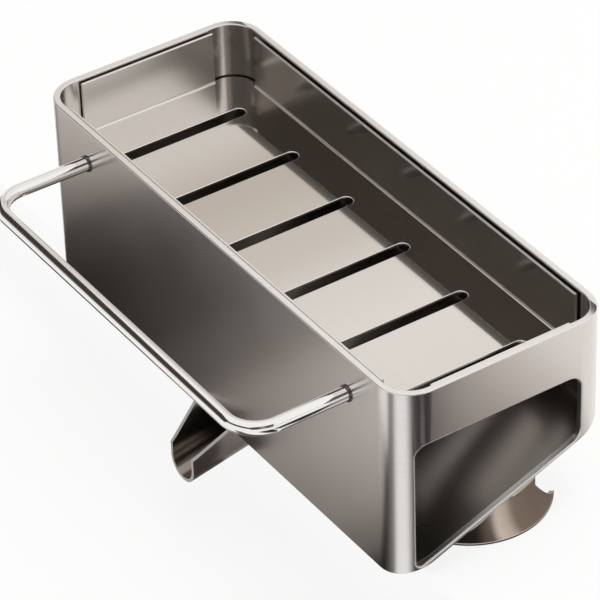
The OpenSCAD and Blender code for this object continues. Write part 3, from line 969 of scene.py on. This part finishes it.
def card(name, corners, stops, axis="X", centre=None, fade=None):
    """A glowing studio card seen only in reflections, which paints them; stops give its grey along
    an axis or round a centre.

    A stop is a place in metres, or an angle in radians round the centre, and a hex grey.
    fade is a pair of places along Y, with the strength of the card at each."""
    material, glow = new_material(name, "ShaderNodeEmission")
    link = material.node_tree.links.new
    place = add_node(material, "ShaderNodeTexCoord")
    split = add_node(material, "ShaderNodeSeparateXYZ")
    if centre:
        shift = add_node(material, "ShaderNodeMapping")
        shift.inputs["Location"].default_value = (-centre[0], -centre[1], 0)
        link(place.outputs["Object"], shift.inputs["Vector"])
        link(shift.outputs["Vector"], split.inputs[0])
        value = add_node(material, "ShaderNodeMath", {"operation": "ARCTAN2"})
        link(split.outputs["Y"], value.inputs[0])
        link(split.outputs["X"], value.inputs[1])
        source = value.outputs[0]
    else:
        link(place.outputs["Object"], split.inputs[0])
        source = split.outputs[axis]
    low, high = stops[0][0], stops[-1][0]
    share = add_node(material, "ShaderNodeMapRange", inputs={"From Min": low, "From Max": high})
    link(source, share.inputs["Value"])
    ramp = add_node(material, "ShaderNodeValToRGB")
    for i, (where, _) in enumerate(stops):
        at = (where - low) / (high - low)
        mark = ramp.color_ramp.elements[i] if i < 2 else ramp.color_ramp.elements.new(at)
        mark.position = at
    for mark, (_, grey) in zip(ramp.color_ramp.elements, stops):
        mark.color = srgb(grey)
    ramp.color_ramp.interpolation = "EASE"
    link(share.outputs["Result"], ramp.inputs["Fac"])
    link(ramp.outputs["Color"], glow.inputs["Color"])
    if fade:
        (near, near_strength), (far, far_strength) = fade
        dim = add_node(material, "ShaderNodeMapRange", inputs={
            "From Min": near, "From Max": far, "To Min": near_strength, "To Max": far_strength})
        link(split.outputs["Y"], dim.inputs["Value"])
        link(dim.outputs["Result"], glow.inputs["Strength"])
    board = new_piece(mesh_from(name, corners, [tuple(range(len(corners)))]), material)
    board.visible_camera = board.visible_diffuse = board.visible_shadow = False


def flat(x_range, y_range, z):
    """Corners of a level rectangle at a height."""
    (x0, x1), (y0, y1) = x_range, y_range
    return [(x0, y0, z), (x1, y0, z), (x1, y1, z), (x0, y1, z)]


# The counter ends just before the legs, and the spout hangs over its edge, above the ground.
white_paper = paper("white_paper", 0.86)
board_edge, ground_level = -0.036, -0.045
counter_span, ground_span = (-3, 3), (-4, 4)
counter_rings = [flat(counter_span, (board_edge, 3), z) for z in (ground_level, 0.0)]
counter = new_piece(loft("counter_board", counter_rings), white_paper)
ground = new_piece(
    mesh_from("ground", flat(ground_span, ground_span, ground_level), [(0, 1, 2, 3)]), white_paper)
for thing in (counter, ground):
    for face in thing.data.polygons:
        face.use_smooth = False

# A glowing card paints the front wall's reflection of the ground before it: pale, near black, light
# grey, dimmed near the wall as painted shade.
ground_card, floor_front = -0.042, -0.038
card("front_card", flat((-0.9, 0.09), (-0.175, floor_front), ground_card), [
    (-0.34, "#D8D2CD"), (-0.25, "#C9C1BB"), (-0.225, "#A49D97"), (-0.2, "#615C58"),
    (-0.16, "#4A4643"), (-0.122, "#54504D"), (-0.08, "#7D7773"), (-0.045, "#C0B9B4"),
    (-0.005, "#DAD4CF"), (0.03, "#D2CCC7"), (0.056, "#B0AAA5"), (0.074, "#4A4744"),
    (0.086, "#282523")], fade=((-0.14, 0.88), (-0.085, 0.42)))
# A glowing card paints the near corner's reflection of the floor round it: dark, then a white
# streak, then dark again.
card("corner_card", flat((0.09, 0.9), (-0.3, floor_front), ground_card), [
    (-1.90, "#3A3734"), (-1.5, "#76736F"), (-1.28, "#FFFFFF"), (-0.80, "#FFFFFF"),
    (-0.52, "#454240"), (-0.15, "#343130"), (0.0, "#343130")], centre=(0.115, -0.035))
# Beside the corner the painted dark reflection goes on as a glowing wedge on the board, up to the
# start of the end wall.
card("wedge_card", [(0.128, -0.036, 0.0014), (0.5, -0.036, 0.0014), (0.5, 0.228, 0.0014)], [
    (-0.1, "#343130"), (0.0, "#343130"), (0.42, "#3A3634"), (0.52, "#55514E"),
    (0.62, "#8A8480")], centre=(0.118, -0.035))
# A glowing card paints the end wall's reflection of the board beside it, grey near the front and
# white at the back.
card("end_card", flat((0.135, 0.6), (board_edge, 0.4), 0.0008), [
    (board_edge, "#827C78"), (0.02, "#958F8A"), (0.043, "#B0AAA5"), (0.067, "#D2CCC7"),
    (0.099, "#FAF6F3"), (0.4, "#FFFFFF")], axis="Y")
# A glowing card paints the right leg's reflection of the board at its foot: dark, a white streak,
# then warm grey.
card("leg_card", flat((0.1, 0.185), (-0.035, 0.06), 0.0012), [
    (-1.0, "#24201E"), (-0.55, "#2E2926"), (-0.34, "#7A716B"), (-0.2, "#FFFFFF"),
    (-0.1, "#F2ECE7"), (0.1, "#9C928A"), (0.5, "#8F857D"), (1.2, "#6E655F")],
    centre=(0.0955, 0.0065))
# Up in front on the left, a glowing card: the back flap mirrors it by way of the tray, and turns
# dark with this painted reflection.
card("left_card", [(-1.2, 0.1, 0.2), (-0.4, -1.2, 0.2), (-0.3, -1.0, 0.95), (-0.9, 0.1, 0.95)], [
    (0.2, "#C8C2BD"), (0.36, "#6A6460"), (0.5, "#3C3733"), (0.95, "#48423E")], axis="Z")
# Glowing cards before and behind the camera paint the reflection that turns the inner corner at the
# back left dark, with one pale streak.
card("near_card", [(-0.4, -1.2, 0.62), (0.9, -1.0, 0.62), (0.9, -1.0, 1.25), (-0.4, -1.2, 1.25)], [
    (-0.4, "#4A4440"), (0.3, "#46413D"), (0.9, "#4A4542")])
card("far_card", [(0.9, -1.0, 0.45), (1.1, 0.45, 0.45), (1.1, 0.45, 1.6), (0.9, -1.0, 1.6)], [
    (-1.0, "#4A4542"), (-0.6, "#4E4945"), (-0.34, "#9A948F"), (-0.12, "#5E5853"),
    (0.45, "#6A6560")], axis="Y")
# Just over the back flap, a glowing card: the tray's floor mirrors it, a painted reflection that
# widens the dark strip of the flap.
strip_y, strip_low, strip_high = 0.0467, 0.0922, 0.0977
card("rim_card", [
    (-0.35, strip_y, strip_low), (0.127, strip_y, strip_low),
    (0.127, strip_y, strip_high), (-0.35, strip_y, strip_high)], [
    (strip_low, "#55514E"), (strip_high, "#6A6663")], axis="Z")
# Over the tray, a glowing card: its floor mirrors this card as a painted reflection, greyer at the
# left end and white at the right.
card("tray_card", flat((-0.9, 0.7), (0.0, 0.7), 0.35), [
    (-0.5, "#EAE7E3"), (-0.44, "#E6E2DE"), (-0.40, "#D3CBC4"), (-0.33, "#E2DDD8"),
    (-0.29, "#F4F1EE"), (-0.25, "#FAF8F6"), (-0.1, "#F2F0ED"), (0.0, "#FFFFFF"), (0.7, "#FFFFFF")])
# Under the tray, a glowing card: the floor pan mirrors it as the soft painted highlight streak that
# shows in the window.
card("under_card", flat((0.076, 0.096), (-0.014, 0.026), 0.0642), [
    (0.076, "#2A2725"), (0.082, "#C8C4C0"), (0.088, "#F4F1EE"), (0.092, "#8A8581"),
    (0.096, "#2A2725")])

# White where it is seen, and dimmer as light on the object.
world = bpy.data.worlds.new("surround")
bpy.context.scene.world = world
world.use_nodes = True
world.node_tree.nodes.clear()
link = world.node_tree.links.new
fill = add_node(world, "ShaderNodeBackground", inputs={"Color": srgb("#F2F1F0"), "Strength": 0.7})
white = add_node(world, "ShaderNodeBackground", inputs={"Color": (1, 1, 1, 1), "Strength": 1.0})
either = add_node(world, "ShaderNodeMixShader")
link(seen_ray(world), either.inputs["Fac"])
link(fill.outputs[0], either.inputs[1])
link(white.outputs[0], either.inputs[2])
out = add_node(world, "ShaderNodeOutputWorld")
link(either.outputs[0], out.inputs["Surface"])

# One softbox above and behind; reflections see the cards and not the lamp.
top_light = bpy.data.lights.new("top_softbox", "AREA")
top_light.shape, top_light.size, top_light.size_y = "RECTANGLE", 1.2, 0.8
top_light.energy = 14
top = bpy.data.objects.new("top_softbox", top_light)
top.location = (0.2, 0.3, 1.6)
top.rotation_euler = (-top.location).to_track_quat("-Z", "Y").to_euler()
top.visible_glossy = False
bpy.context.scene.collection.objects.link(top)

bpy.context.scene.view_settings.view_transform = "Standard"
